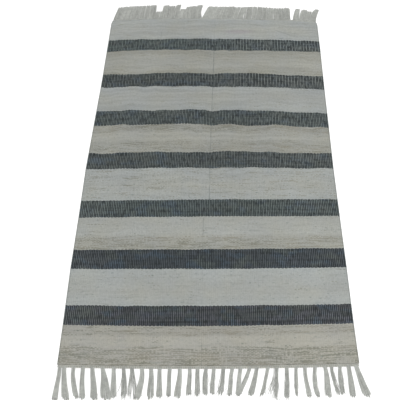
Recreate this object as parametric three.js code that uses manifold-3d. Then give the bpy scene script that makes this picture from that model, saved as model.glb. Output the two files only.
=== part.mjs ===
// A flat-woven striped rug lying on a floor: one ribbed cloth with a heading and a row of tassels at each end.
// Millimetres, +Z up. X runs across the rug, +Y runs along it to the far end.
// The origin is under the middle of the cloth, on the floor.
import * as THREE from "three";
import { mergeVertices } from "three/addons/utils/BufferGeometryUtils.js";
import Module from "manifold-3d";

// Driving dimensions of the cloth, its ribs and its headings.
const THICKNESS = 5;
const RIBS = 150;
const RIB_RELIEF = 1.2;
const SELVEDGE_HEIGHT = 3.4;
const HEADING_WIDTH = 8;
const HEADING_HEIGHT = 4.2;
const PARTING = 0.4;
const RIBS_PER_EDGE_STEP = 10;

// The uneven outline, a row for each weft line that is measured, from the near end to the far end.
// along: place of the line's ends; left, right: the two selvedges; skew: how far the right end runs ahead
// of the middle; arch: how far the middle runs ahead of the two ends.
const WEFT_LINES = [
  { along: -742, left: -446, right: 452, skew: 10, arch: -6 },
  { along: -611, left: -448, right: 450, skew: 9.5, arch: -6 },
  { along: -427, left: -452, right: 450, skew: 8.5, arch: -2 },
  { along: -235, left: -452, right: 448.5, skew: 8, arch: 1.5 },
  { along: -38, left: -454, right: 447.5, skew: 5, arch: 6.5 },
  { along: 156, left: -450, right: 449.5, skew: -3.5, arch: 13 },
  { along: 349, left: -445.5, right: 451, skew: -5, arch: 12 },
  { along: 549, left: -444, right: 454, skew: -4, arch: 14 },
  { along: 715, left: -443, right: 455, skew: -8.5, arch: 14 },
  { along: 738, left: -436, right: 450, skew: -9, arch: 14 },
];

// The two ends: the weft line where the tassels start, the way they point and the width of each at its root.
const NEAR_END = { along: WEFT_LINES[0].along, outward: -1, rootWidth: 11 };
const FAR_END = { along: WEFT_LINES[WEFT_LINES.length - 1].along, outward: 1, rootWidth: 21.5 };

// Each tassel is a bunch of warp yarns, each yarn a three-sided strand lying on the floor.
const STRANDS_PER_TASSEL = 4;
const STRAND_SPANS = 3;
const STRAND_GAP = 0.5;
const ROOT_DEPTH = 3;
const ROOT_HEIGHT = 3.6;
const TIP_HEIGHT = 2.2;
const LEAN_CURVE = 1.3;
const UNEVEN_CUT = [0.95, 1, 0.98, 0.92];
const UNEVEN_SHIFT = 3;

// The near tassels hang apart, each with its own root, sideways lean, length and width at the tip.
const tassel = (root, lean, length, spread) => ({ root, lean, length, spread });
const NEAR_TASSELS = [
  tassel(-437, 4, 95, 16),
  tassel(-421, 17, 93, 17),
  tassel(-395, 21, 87, 13),
  tassel(-367, 10, 87, 14),
  tassel(-339, 16, 92, 16),
  tassel(-309, 14, 91, 20),
  tassel(-275, 5, 84, 15),
  tassel(-246, 8, 84, 14),
  tassel(-221, 8, 84, 16),
  tassel(-191, 0, 83, 15),
  tassel(-164, 7, 83, 14),
  tassel(-138, 2, 82, 15),
  tassel(-107, -1, 79, 12),
  tassel(-78, -3, 83, 16),
  tassel(-49, 1, 78, 14),
  tassel(-25, 0, 78, 12),
  tassel(1, -2, 75, 13),
  tassel(23, -3, 74, 14),
  tassel(51, -6, 76, 11),
  tassel(78, -10, 77, 10),
  tassel(102, -9, 76, 11),
  tassel(128, -22, 77, 12),
  tassel(149, -16, 78, 15),
  tassel(179, -17, 78, 10),
  tassel(206, -5, 86, 20),
  tassel(238, -6, 89, 13),
  tassel(265, -3, 82, 11),
  tassel(292, 7, 84, 14),
  tassel(322, 2, 83, 12),
  tassel(350, 5, 85, 15),
  tassel(372, 7, 81, 8),
  tassel(395, -4, 80, 14),
  tassel(419, 1, 85, 18),
  tassel(445, 20, 85, 20),
];

// The far tassels are combed into clumps that almost close up. In each clump the lean and the length change
// evenly from the first tassel to the last.
const FAR_CLUMPS = [
  { count: 7, firstLean: 13, lastLean: 3, firstLength: 80, lastLength: 88, spread: 23 },
  { count: 3, firstLean: 29, lastLean: 19, firstLength: 86, lastLength: 77, spread: 20 },
  { count: 1, firstLean: 12, lastLean: 12, firstLength: 86, lastLength: 86, spread: 9 },
  { count: 4, firstLean: 8, lastLean: 4, firstLength: 66, lastLength: 83, spread: 22 },
  { count: 6, firstLean: 28, lastLean: 17, firstLength: 77, lastLength: 65, spread: 22 },
  { count: 3, firstLean: 16, lastLean: 9, firstLength: 76, lastLength: 80, spread: 20 },
  { count: 1, firstLean: 8, lastLean: 8, firstLength: 80, lastLength: 80, spread: 15 },
  { count: 5, firstLean: 10, lastLean: -1, firstLength: 74, lastLength: 75, spread: 22 },
  { count: 3, firstLean: 20, lastLean: 11, firstLength: 72, lastLength: 68, spread: 19 },
  { count: 1, firstLean: 17, lastLean: 17, firstLength: 77, lastLength: 77, spread: 22 },
];

const CLOTH_COLOUR = 0x9c9f97;
const FRINGE_COLOUR = 0xa3a7a1;

const wasm = await Module();
wasm.setup();

const range = (count) => Array.from({ length: count }, (_, index) => index);
const mix = THREE.MathUtils.lerp;

// The outline's values on the weft line at a place along the rug, between the measured lines.
function weftLine(along) {
  const last = WEFT_LINES.length - 1;
  const next = WEFT_LINES.findIndex((line) => line.along >= along);
  const upper = THREE.MathUtils.clamp(next, 1, last);
  const [a, b] = [WEFT_LINES[upper - 1], WEFT_LINES[upper]];
  const share = (along - a.along) / (b.along - a.along);
  const between = (key) => mix(a[key], b[key], share);
  return { left: between("left"), right: between("right"), skew: between("skew"), arch: between("arch") };
}

// The floor point of a warp place, from -1 at the left selvedge to 1 at the right one, on a weft line.
function place(across, along) {
  const { left, right, skew, arch } = weftLine(along);
  const x = mix(left, right, (across + 1) / 2);
  const y = along + skew * across + arch * (1 - across * across);
  return [x, y];
}

// Where the weft line at a place along the rug lies for a given x.
function weftY(x, along) {
  const { left, right } = weftLine(along);
  const across = (2 * (x - left)) / (right - left) - 1;
  return place(across, along)[1];
}

function indexedGeometry(positions, triangles) {
  const geometry = new THREE.BufferGeometry();
  geometry.setAttribute("position", new THREE.Float32BufferAttribute(positions, 3));
  geometry.setIndex(triangles);
  return geometry;
}

function solid(geometry) {
  const bare = geometry.clone();
  bare.deleteAttribute("normal");
  bare.deleteAttribute("uv");
  const merged = mergeVertices(bare);
  const vertProperties = new Float32Array(merged.attributes.position.array);
  const triVerts = new Uint32Array(merged.index.array);
  return new wasm.Manifold(new wasm.Mesh({ numProp: 3, vertProperties, triVerts }));
}

function geometryOf(manifold) {
  const { vertProperties, triVerts } = manifold.getMesh();
  return indexedGeometry(Array.from(vertProperties), Array.from(triVerts));
}

// A row of points across the top of the cloth: each rib rises to its crest between two grooves.
function ribHeight(column) {
  if (column === 0 || column === 2 * RIBS) return SELVEDGE_HEIGHT;
  return column % 2 === 1 ? THICKNESS : THICKNESS - RIB_RELIEF;
}

// The cloth: a ribbed top, four walls and one flat underside with points only where the outline turns.
function clothGeometry() {
  const positions = [];
  const triangles = [];
  const addPoint = (x, y, z) => positions.push(x, y, z) / 3 - 1;
  const headed = HEADING_WIDTH + PARTING;
  const inner = WEFT_LINES.slice(1, -1).map((line) => line.along);
  const rows = [NEAR_END.along + headed, ...inner, FAR_END.along - headed];
  const columns = 2 * RIBS;
  const acrossOf = (column) => (2 * column) / columns - 1;

  const top = rows.map((along) =>
    range(columns + 1).map((column) => addPoint(...place(acrossOf(column), along), ribHeight(column))),
  );
  for (let row = 0; row + 1 < rows.length; row++) {
    for (let column = 0; column < columns; column++) {
      const [a, b] = [top[row][column], top[row][column + 1]];
      const [c, d] = [top[row + 1][column + 1], top[row + 1][column]];
      triangles.push(a, b, c, a, c, d);
    }
  }

  // The edge runs round the cloth as seen from above, a stretch at a time. Each stretch of wall stands
  // between two floor points and the row of top points over them.
  const stretches = [];
  const step = 2 * RIBS_PER_EDGE_STEP;
  const lastRow = rows.length - 1;
  for (let column = 0; column < columns; column += step) {
    stretches.push(top[0].slice(column, column + step + 1));
  }
  for (let row = 0; row < lastRow; row++) stretches.push([top[row][columns], top[row + 1][columns]]);
  for (let column = columns; column > 0; column -= step) {
    stretches.push(top[lastRow].slice(column - step, column + 1).reverse());
  }
  for (let row = lastRow; row > 0; row--) stretches.push([top[row][0], top[row - 1][0]]);

  const pointAt = (id) => new THREE.Vector3(...positions.slice(3 * id, 3 * id + 3));
  const floorBelow = stretches.map(([first]) => {
    const { x, y } = pointAt(first);
    return addPoint(x, y, 0);
  });
  stretches.forEach((upper, index) => {
    const lower = [floorBelow[index], floorBelow[(index + 1) % stretches.length]];
    const wall = [...lower, ...upper.slice().reverse()];
    const start = pointAt(lower[0]);
    const way = pointAt(lower[1]).sub(start).normalize();
    const outline = wall.map((id) => {
      const point = pointAt(id);
      return new THREE.Vector2(point.clone().sub(start).dot(way), point.z);
    });
    THREE.ShapeUtils.triangulateShape(outline, []).forEach((corners) => {
      triangles.push(...corners.map((corner) => wall[corner]));
    });
  });

  const underside = floorBelow.map((id) => new THREE.Vector2(pointAt(id).x, pointAt(id).y));
  THREE.ShapeUtils.triangulateShape(underside, []).forEach(([a, b, c]) => {
    triangles.push(floorBelow[a], floorBelow[c], floorBelow[b]);
  });
  return indexedGeometry(positions, triangles);
}

// The heading: a narrow flat strip that follows the cloth's end, parted from it.
function headingGeometry(end) {
  const steps = RIBS / RIBS_PER_EDGE_STEP;
  const edge = (along) => range(steps + 1).map((step) => place((2 * step) / steps - 1, along));
  const outer = edge(end.along);
  const inner = edge(end.along - end.outward * HEADING_WIDTH);
  const outline = [...outer, ...inner.reverse()].map(([x, y]) => new THREE.Vector2(x, y));
  return new THREE.ExtrudeGeometry(new THREE.Shape(outline), { depth: HEADING_HEIGHT, bevelEnabled: false });
}

// One strand, a loft of three-sided sections with their wide side on the floor, from inside the heading
// to the cut tip. Its place in the tassel keeps it beside its neighbours all the way.
function strandGeometry(end, bunch, strand, cut) {
  const rootY = weftY(bunch.root, end.along);
  const side = strand - (STRANDS_PER_TASSEL - 1) / 2;
  const positions = [];
  for (let span = 0; span <= STRAND_SPANS; span++) {
    const isTip = span === STRAND_SPANS;
    const reach = isTip ? bunch.length * cut : (bunch.length * span) / STRAND_SPANS;
    const share = reach / bunch.length;
    const pitch = mix(end.rootWidth, bunch.spread, share) / STRANDS_PER_TASSEL;
    const half = (end.outward * (pitch - STRAND_GAP)) / 2;
    const x = bunch.root + bunch.lean * Math.pow(share, LEAN_CURVE) + side * pitch;
    const y = rootY + end.outward * (span === 0 ? -ROOT_DEPTH : reach);
    const ridge = mix(ROOT_HEIGHT, TIP_HEIGHT, share);
    positions.push(x - half, y, 0, x + half, y, 0, x, y, ridge);
  }
  const triangles = [0, 1, 2];
  for (let span = 0; span < STRAND_SPANS; span++) {
    for (let corner = 0; corner < 3; corner++) {
      const a = 3 * span + corner;
      const b = 3 * span + ((corner + 1) % 3);
      triangles.push(a, a + 3, b, b, a + 3, b + 3);
    }
  }
  const tip = 3 * STRAND_SPANS;
  triangles.push(tip, tip + 2, tip + 1);
  return indexedGeometry(positions, triangles);
}

// A fringe: the heading with every strand's root fused into it.
function fringeGeometry(end, tassels) {
  let fringe = solid(headingGeometry(end));
  tassels.forEach((bunch, index) => {
    for (let strand = 0; strand < STRANDS_PER_TASSEL; strand++) {
      const cut = UNEVEN_CUT[(strand + UNEVEN_SHIFT * index) % UNEVEN_CUT.length];
      fringe = fringe.add(solid(strandGeometry(end, bunch, strand, cut)));
    }
  });
  return geometryOf(fringe);
}

// The far tassels, spread evenly along the far end and leaning as their clumps do.
function farTassels() {
  const { left, right } = weftLine(FAR_END.along);
  const inClumps = FAR_CLUMPS.flatMap((clump) =>
    range(clump.count).map((index) => {
      const share = clump.count > 1 ? index / (clump.count - 1) : 0;
      return {
        lean: mix(clump.firstLean, clump.lastLean, share),
        length: mix(clump.firstLength, clump.lastLength, share),
        spread: clump.spread,
      };
    }),
  );
  const pitch = (right - left) / inClumps.length;
  return inClumps.map((bunch, index) => ({ ...bunch, root: left + pitch * (index + 0.5) }));
}

function part(name, geometry, colour) {
  const flat = geometry.toNonIndexed();
  flat.computeVertexNormals();
  const material = new THREE.MeshStandardMaterial({ color: colour, roughness: 0.95, metalness: 0 });
  const mesh = new THREE.Mesh(flat, material);
  mesh.name = name;
  return mesh;
}

const rug = new THREE.Group();
rug.add(
  part("woven_cloth", clothGeometry(), CLOTH_COLOUR),
  part("near_fringe", fringeGeometry(NEAR_END, NEAR_TASSELS), FRINGE_COLOUR),
  part("far_fringe", fringeGeometry(FAR_END, farTassels()), FRINGE_COLOUR),
);

export default rug;
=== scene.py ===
"""Dresses the striped flat-woven rug: its ribbed, banded cloth and the tasselled fringe at each end.

Metres, +Z up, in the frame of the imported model. X runs across the rug and +Y along it to the far end.
"""
from __future__ import annotations

import logging
import math
from dataclasses import dataclass, field
from enum import Enum
from typing import Union

import bpy
import numpy as np
from mathutils import Matrix

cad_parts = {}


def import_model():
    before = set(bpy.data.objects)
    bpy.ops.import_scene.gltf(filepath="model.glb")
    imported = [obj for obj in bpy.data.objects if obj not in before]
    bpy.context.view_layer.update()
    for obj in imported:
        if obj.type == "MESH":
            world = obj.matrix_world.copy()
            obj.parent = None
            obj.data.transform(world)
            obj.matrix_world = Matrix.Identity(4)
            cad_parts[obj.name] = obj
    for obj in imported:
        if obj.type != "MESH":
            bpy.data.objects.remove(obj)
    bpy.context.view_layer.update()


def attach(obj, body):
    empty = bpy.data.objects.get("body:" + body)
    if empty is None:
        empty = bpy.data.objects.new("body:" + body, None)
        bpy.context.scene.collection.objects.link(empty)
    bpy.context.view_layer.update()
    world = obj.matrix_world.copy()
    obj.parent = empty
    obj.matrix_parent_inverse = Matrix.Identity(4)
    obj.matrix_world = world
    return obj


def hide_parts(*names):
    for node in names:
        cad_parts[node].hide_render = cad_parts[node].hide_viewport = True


MM = 0.001
LOG = logging.getLogger("rug")

Triple = tuple[float, float, float]
Colour = tuple[float, float, float, float]
Stops = list[tuple[float, Colour]]
Array = np.ndarray
Node = bpy.types.Node
Socket = bpy.types.NodeSocket
Value = Union[Socket, float]
Groups = dict[str, bpy.types.NodeTree]


def linear(colour: Triple) -> Colour:
    """Turns a display colour into the linear colour that the shaders use, by the usual display curve.

    Args:
        colour: Red, green and blue from 0 to 255.

    Returns:
        The linear colour, opaque.
    """
    shares = [channel / 255 for channel in colour]
    curved = [s / 12.92 if s <= 0.04045 else ((s + 0.055) / 1.055) ** 2.4 for s in shares]
    return (curved[0], curved[1], curved[2], 1.0)


def grey(amount: float) -> Colour:
    """An opaque grey of the given strength."""
    return (amount, amount, amount, 1.0)


class Yarn(Enum):
    """The dyed yarns of the rug, as display colours in plain light; some also serve as painted shade."""

    COOL_PALE = (147, 151, 149)
    PALE = (147, 149, 144)
    WARM_PALE = (149, 150, 143)
    BEIGE = (146, 147, 139)
    ROSY_BEIGE = (148, 147, 139)
    OLIVE_STREAK = (99, 100, 88)
    TAN_STREAK = (114, 111, 99)
    # Grey also paints shade along two wrinkles among the marks.
    GREY_STREAK_AND_SHADE = (122, 125, 121)
    CHARCOAL = (58, 81, 79)
    # Deep charcoal is also the painted shade of the fold line and the selvedges.
    DEEP_CHARCOAL = (63, 74, 74)
    NAVY_CHARCOAL = (24, 58, 80)
    PLUM_CHARCOAL = (62, 63, 78)
    MOSS_CHARCOAL = (58, 68, 62)
    # Near-black is the painted shade in the dark bands' grooves, and a few thin dark marks.
    NEAR_BLACK = (16, 22, 24)
    PLUM_SMUDGE = (132, 126, 131)
    HEADING = (172, 172, 164)
    FRINGE = (167, 169, 164)

    @property
    def dye(self) -> Colour:
        """The yarn's colour as the shaders take it."""
        return linear(self.value)


class End(Enum):
    """The two fringed ends, by the way their tassels point along Y."""

    NEAR = -1
    FAR = 1


class SocketKind(Enum):
    """The kinds of input that the node groups have."""

    VALUE = "NodeSocketFloat"
    VECTOR = "NodeSocketVector"


@dataclass(frozen=True)
class WeftLine:
    """A measured weft line of the uneven outline, in millimetres."""

    along: float
    left: float
    right: float
    skew: float
    arch: float


@dataclass(frozen=True)
class Tassel:
    """One tassel in millimetres. Its fray is 0 for a firm one and about 1 for one that has come apart."""

    root: float
    lean: float
    length: float
    spread: float
    fray: float = 0.0
    bow: float = 0.0


@dataclass(frozen=True)
class Clump:
    """Neighbouring far tassels in millimetres: lean and length change evenly, bow and shift are shared."""

    count: int
    first_lean: float
    last_lean: float
    first_length: float
    last_length: float
    spread: float
    bow: float = 0.0
    shift: float = 0.0


@dataclass(frozen=True)
class Shade:
    """The yarn that shows at one place along the rug, in millimetres, and how far it is dimmed."""

    along: float
    yarn: Yarn
    dim: float = 1.0


@dataclass(frozen=True)
class Band:
    """A dark band between two weft lines, in millimetres."""

    near: float
    far: float


@dataclass(frozen=True)
class Level:
    """The strength of an effect at one place along the rug, in millimetres."""

    along: float
    amount: float


@dataclass(frozen=True)
class Mark:
    """A soft long mark on the cloth, sizes in metres from its near left corner, its tilt in degrees."""

    across: float
    along: float
    half_length: float
    half_width: float
    tilt: float
    yarn: Yarn
    strength: float


@dataclass(frozen=True)
class Crease:
    """A soft trough in the cloth, in metres from its near left corner, its depth in millimetres."""

    across: float
    along: float
    half_length: float
    half_width: float
    tilt: float
    depth: float


@dataclass(frozen=True)
class Ease:
    """A smooth step: where it starts and ends, and its values there."""

    low: float
    high: float
    start: float = 0.0
    end: float = 1.0


@dataclass(frozen=True)
class Grain:
    """A noise on the cloth: its cells across and along, its layer, its finer layers and their share."""

    across: float
    along: float
    layer: float = 0.0
    detail: float = 2.0
    rough: float = 0.5


@dataclass(frozen=True)
class Tint:
    """A soft tint of the dark bands, which may stay mostly at the near end."""

    grain: Grain
    yarn: Yarn
    near_only: bool = False


WEFT_LINES = (
    WeftLine(-742, -446, 452, 10, -6),
    WeftLine(-611, -448, 450, 9.5, -6),
    WeftLine(-427, -452, 450, 8.5, -2),
    WeftLine(-235, -452, 448.5, 8, 1.5),
    WeftLine(-38, -454, 447.5, 5, 6.5),
    WeftLine(156, -450, 449.5, -3.5, 13),
    WeftLine(349, -445.5, 451, -5, 12),
    WeftLine(549, -444, 454, -4, 14),
    WeftLine(715, -443, 455, -8.5, 14),
    WeftLine(738, -436, 450, -9, 14),
)

HEADING_WIDTH = 8.0
PARTING = 0.4

DARK_BANDS = (
    Band(-615, -553),
    Band(-431, -362),
    Band(-241, -175),
    Band(-44, 24),
    Band(148, 219),
    Band(341, 410),
    Band(543, 607),
)

LIGHT_SHADES = (
    Shade(-734, Yarn.ROSY_BEIGE, 0.95),
    Shade(-684, Yarn.ROSY_BEIGE, 0.97),
    Shade(-677, Yarn.ROSY_BEIGE, 1.02),
    Shade(-650, Yarn.ROSY_BEIGE, 1.02),
    Shade(-643, Yarn.ROSY_BEIGE, 0.88),
    Shade(-619, Yarn.ROSY_BEIGE, 0.88),
    Shade(-557, Yarn.COOL_PALE, 0.95),
    Shade(-508, Yarn.PALE, 0.94),
    Shade(-436, Yarn.COOL_PALE, 0.95),
    Shade(-366, Yarn.WARM_PALE, 0.84),
    Shade(-318, Yarn.WARM_PALE, 0.88),
    Shade(-304, Yarn.PALE, 0.98),
    Shade(-245, Yarn.PALE, 0.9),
    Shade(-177, Yarn.COOL_PALE, 0.91),
    Shade(-119, Yarn.PALE, 0.93),
    Shade(-47, Yarn.COOL_PALE, 0.88),
    Shade(21, Yarn.WARM_PALE, 0.79),
    Shade(72, Yarn.WARM_PALE, 0.79),
    Shade(84, Yarn.WARM_PALE, 0.87),
    Shade(108, Yarn.WARM_PALE, 0.87),
    Shade(116, Yarn.WARM_PALE, 0.79),
    Shade(142, Yarn.WARM_PALE, 0.78),
    Shade(216, Yarn.COOL_PALE, 0.83),
    Shade(290, Yarn.PALE, 0.87),
    Shade(338, Yarn.COOL_PALE, 0.85),
    Shade(407, Yarn.BEIGE, 0.79),
    Shade(469, Yarn.WARM_PALE, 0.87),
    Shade(537, Yarn.BEIGE, 0.77),
    Shade(602, Yarn.COOL_PALE, 0.91),
    Shade(668, Yarn.PALE, 0.93),
    Shade(730, Yarn.COOL_PALE, 0.95),
)

DARK_SHADES = (
    Shade(-613, Yarn.PLUM_CHARCOAL, 0.45),
    Shade(-587, Yarn.DEEP_CHARCOAL, 0.43),
    Shade(-562, Yarn.PLUM_CHARCOAL, 0.28),
    Shade(-428, Yarn.NAVY_CHARCOAL, 0.3),
    Shade(-373, Yarn.NAVY_CHARCOAL, 0.28),
    Shade(-212, Yarn.CHARCOAL, 0.6),
    Shade(-9, Yarn.CHARCOAL, 0.33),
    Shade(180, Yarn.CHARCOAL, 0.55),
    Shade(372, Yarn.CHARCOAL, 0.35),
    Shade(569, Yarn.CHARCOAL, 0.76),
)

DARK_TINTS = (
    Tint(Grain(15.0, 27.0, 5.0, rough=0.6), Yarn.NAVY_CHARCOAL),
    Tint(Grain(11.0, 19.8, 13.0, rough=0.6), Yarn.MOSS_CHARCOAL),
    Tint(Grain(13.0, 23.4, 21.0, rough=0.6), Yarn.PLUM_CHARCOAL, near_only=True),
)

STREAK_LEVELS = (
    Level(-734, 0.85),
    Level(-684, 0.78),
    Level(-676, 0.25),
    Level(-650, 0.2),
    Level(-642, 0.62),
    Level(-621, 0.62),
    Level(-607, 0.12),
    Level(-373, 0.12),
    Level(-358, 0.75),
    Level(-320, 0.7),
    Level(-306, 0.15),
    Level(-249, 0.2),
    Level(-169, 0.42),
    Level(-54, 0.45),
    Level(26, 0.6),
    Level(65, 0.7),
    Level(82, 0.2),
    Level(105, 0.25),
    Level(125, 0.8),
    Level(142, 0.85),
    Level(220, 0.12),
    Level(252, 0.3),
    Level(290, 0.12),
    Level(409, 0.6),
    Level(444, 0.4),
    Level(469, 0.15),
    Level(529, 0.6),
    Level(604, 0.15),
    Level(730, 0.18),
)

FLECK_LEVELS = (
    Level(-734, 0.6),
    Level(-619, 0.5),
    Level(-557, 0.65),
    Level(-435, 0.65),
    Level(-366, 0.4),
    Level(-179, 0.8),
    Level(-46, 0.75),
    Level(190, 0.3),
    Level(730, 0.25),
)

# How strongly the fold line's painted shade shows along the rug.
FOLD_SHADE_LEVELS = (
    Level(-734, 0.6),
    Level(-697, 0.6),
    Level(-657, 0.1),
    Level(-435, 0.1),
    Level(-366, 0.5),
    Level(-245, 0.5),
    Level(-177, 0.7),
    Level(-47, 0.45),
    Level(146, 0.6),
    Level(339, 0.7),
    Level(538, 0.9),
    Level(602, 0.2),
    Level(730, 0.15),
)

# The place across the cloth where the fold line's painted shade runs, by its place along: shares of the
# width and of the length.
FOLD_COURSE = ((0.0, 0.481), (0.33, 0.481), (0.37, 0.503), (1.0, 0.506))

MARKS = (
    Mark(0.560, 1.387, 0.080, 0.017, 2.0, Yarn.PLUM_SMUDGE, 0.5),
    # Painted shade along the diagonal wrinkle.
    Mark(0.752, 1.387, 0.055, 0.004, -24.0, Yarn.GREY_STREAK_AND_SHADE, 0.7),
    Mark(0.738, 1.353, 0.016, 0.003, 2.0, Yarn.CHARCOAL, 0.45),
    # Painted shade along a short wrinkle.
    Mark(0.226, 1.363, 0.045, 0.002, 88.0, Yarn.GREY_STREAK_AND_SHADE, 0.6),
    Mark(0.205, 0.103, 0.045, 0.004, 1.0, Yarn.TAN_STREAK, 0.6),
    Mark(0.345, 0.131, 0.110, 0.005, 0.0, Yarn.NEAR_BLACK, 0.6),
    Mark(0.660, 0.131, 0.190, 0.004, 0.2, Yarn.NEAR_BLACK, 0.45),
    Mark(0.335, 1.001, 0.300, 0.0026, -0.4, Yarn.GREY_STREAK_AND_SHADE, 0.4),
    Mark(0.326, 1.230, 0.150, 0.0030, -0.6, Yarn.GREY_STREAK_AND_SHADE, 0.45),
)

CREASES = (
    Crease(0.454, 0.980, 0.480, 0.006, 90.2, 0.9),
    Crease(0.433, 0.250, 0.270, 0.006, 90.0, 0.7),
    Crease(0.226, 1.363, 0.060, 0.005, 88.0, 0.5),
    Crease(0.752, 1.387, 0.070, 0.010, -24.0, 0.9),
)

NEAR_TASSELS = (
    Tassel(-437, -1, 95, 16, 0, 1),
    Tassel(-423, 19, 93, 20, 0, -1),
    Tassel(-395, 21, 87, 13, 0, -4.7),
    Tassel(-367, 10, 89, 15, 0, -1.7),
    Tassel(-339, 16, 92, 18, 0, 2.8),
    Tassel(-309, 24, 91, 28, 0, 2.5),
    Tassel(-275, 8, 84, 16, 0, 2),
    Tassel(-246, 8, 84, 14, 0.5, 3.7),
    Tassel(-221, 12, 90, 25, 0.75, 2.5),
    Tassel(-191, -7, 87, 16, 0, 3),
    Tassel(-164, 4, 86, 16, 0.1, 2),
    Tassel(-138, 4, 82, 16, 0, 1.3),
    Tassel(-107, -1, 79, 12, 0, -1),
    Tassel(-78, -4, 83, 18, 0, 1.5),
    Tassel(-49, 1, 78, 14, 0.3, 0),
    Tassel(-25, 0, 78, 12, 0.4, 0),
    Tassel(1, -2, 75, 15, 0.3, -5),
    Tassel(23, -3, 74, 14, 0.3, -3.3),
    Tassel(51, -9, 76, 12, 0.6, -1),
    Tassel(78, -10, 77, 10, 0.2, -2),
    Tassel(102, -9, 76, 13, 0, -1.3),
    Tassel(129, -35, 77, 13, 0, -3),
    Tassel(150, -21, 78, 16, 0.2, -1),
    Tassel(183, -22, 78, 10, 0.3, -2),
    Tassel(205, -19, 81, 16, 1.3, 0),
    Tassel(238, -6, 89, 13, 0.6, 1),
    Tassel(265, -3, 82, 7, 0.5, -2.2),
    Tassel(291, 8, 84, 13, 0, -2.5),
    Tassel(322, 2, 83, 12, 0, -6),
    Tassel(350, 5, 85, 15, 0.2, 1),
    Tassel(370, 14, 81, 7, 0.7, -2.5),
    Tassel(395, 1, 80, 11, 0.3, -4),
    Tassel(419, 3, 86, 15, 0, 1),
    Tassel(441, 24, 85, 20, 0, -0.5),
    Tassel(209, -8, 88, 7, 0.9, 0),
)

FAR_CLUMPS = (
    Clump(7, 16, 3, 80, 88, 23),
    Clump(1, 5, 5, 46, 46, 21),
    Clump(1, 9, 9, 86, 86, 21),
    Clump(1, 8, 8, 82, 82, 24),
    Clump(1, 13, 13, 88, 88, 16),
    Clump(1, 9, 9, 61, 61, 22),
    Clump(2, 8, 6, 76, 80, 22),
    Clump(1, 5, 5, 86, 86, 21, -5),
    Clump(1, 27, 27, 78, 78, 22, 5),
    Clump(4, 23, 18, 76, 78, 22),
    Clump(1, 15, 15, 75, 75, 22),
    Clump(3, 16, 9, 76, 80, 21),
    Clump(1, 10, 10, 80, 80, 17),
    Clump(2, 6, 4, 78, 77, 22),
    Clump(2, 3, 1, 75, 76, 23),
    Clump(1, 0, 0, 80, 80, 20, 0, -3),
    Clump(1, 14, 14, 74, 74, 17, 0, 5),
    Clump(1, 20, 20, 71, 71, 20, 0, 3),
    Clump(1, 16, 16, 62, 62, 22),
    Clump(1, 25, 25, 76, 76, 18, -3.5),
)


def smooth_step(low: float, high: float, values: Array) -> Array:
    """Rises smoothly from 0 at low to 1 at high.

    Args:
        low: Where the rise starts.
        high: Where the rise ends.
        values: The places that are asked for.

    Returns:
        The height of the step at each place.
    """
    share = np.clip((values - low) / (high - low), 0.0, 1.0)
    return share * share * (3 - 2 * share)


@dataclass
class RugPlan:
    """The rug's uneven outline in millimetres, as a map from warp and weft to the floor."""

    lines: tuple[WeftLine, ...] = WEFT_LINES
    dip: float = 4.0
    dip_across: float = 0.015
    dip_width: float = 0.05
    dip_starts: tuple[float, float] = (60.0, 220.0)
    dip_ends: tuple[float, float] = (660.0, 720.0)

    def end_along(self, end: End) -> float:
        """The weft line where the tassels of an end start, in millimetres."""
        return self.lines[0].along if end is End.NEAR else self.lines[-1].along

    def cloth_along(self, end: End) -> float:
        """The weft line where the cloth meets its heading, in millimetres."""
        return self.end_along(end) - end.value * (HEADING_WIDTH + PARTING)

    def share_along(self, along: float) -> float:
        """A place along the cloth in millimetres as a share of its length, from 0 at the near end."""
        near = self.cloth_along(End.NEAR)
        return (along - near) / (self.cloth_along(End.FAR) - near)

    def column(self, name: str, along: Array) -> Array:
        """Reads one column of the weft lines between the measured rows.

        Args:
            name: The column.
            along: Places along the rug, in millimetres.

        Returns:
            The column's value at each place.
        """
        places = [line.along for line in self.lines]
        return np.interp(along, places, [getattr(line, name) for line in self.lines])

    def place(self, across: Array, along: Array) -> tuple[Array, Array]:
        """Finds floor points, with the weft dipping where the cloth was folded.

        Args:
            across: Warp places from -1 at the left selvedge to 1 at the right one.
            along: Weft places, in millimetres.

        Returns:
            The points' X and Y, in millimetres.
        """
        left = self.column("left", along)
        right = self.column("right", along)
        x = left + (right - left) * (across + 1) / 2
        lift = self.column("skew", along) * across + self.column("arch", along) * (1 - across**2)
        dip = np.exp(-(((across - self.dip_across) / self.dip_width) ** 2))
        fade = smooth_step(*self.dip_starts, along) * (1 - smooth_step(*self.dip_ends, along))
        return x, along + lift - self.dip * dip * fade

    def weft_y(self, x: Array, along: float) -> Array:
        """Finds where a weft line lies for given X.

        Args:
            x: Places across the rug, in millimetres.
            along: The weft line, in millimetres.

        Returns:
            The line's Y at each X, in millimetres.
        """
        flat = np.full_like(np.asarray(x, dtype=float), along)
        left = self.column("left", flat)
        right = self.column("right", flat)
        across = 2 * (x - left) / (right - left) - 1
        return self.place(across, flat)[1]

    def stops(self, shades: tuple[Shade, ...]) -> Stops:
        """Turns shades along the rug into the stops of a ramp.

        Args:
            shades: The shades from the near end to the far end.

        Returns:
            The ramp's positions with their dimmed colours.
        """
        stops = []
        for shade in shades:
            red, green, blue, alpha = shade.yarn.dye
            colour = (red * shade.dim, green * shade.dim, blue * shade.dim, alpha)
            stops.append((self.share_along(shade.along), colour))
        return stops

    def levels(self, levels: tuple[Level, ...]) -> Stops:
        """Turns levels along the rug into the grey stops of a ramp."""
        return [(self.share_along(level.along), grey(level.amount)) for level in levels]


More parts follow.
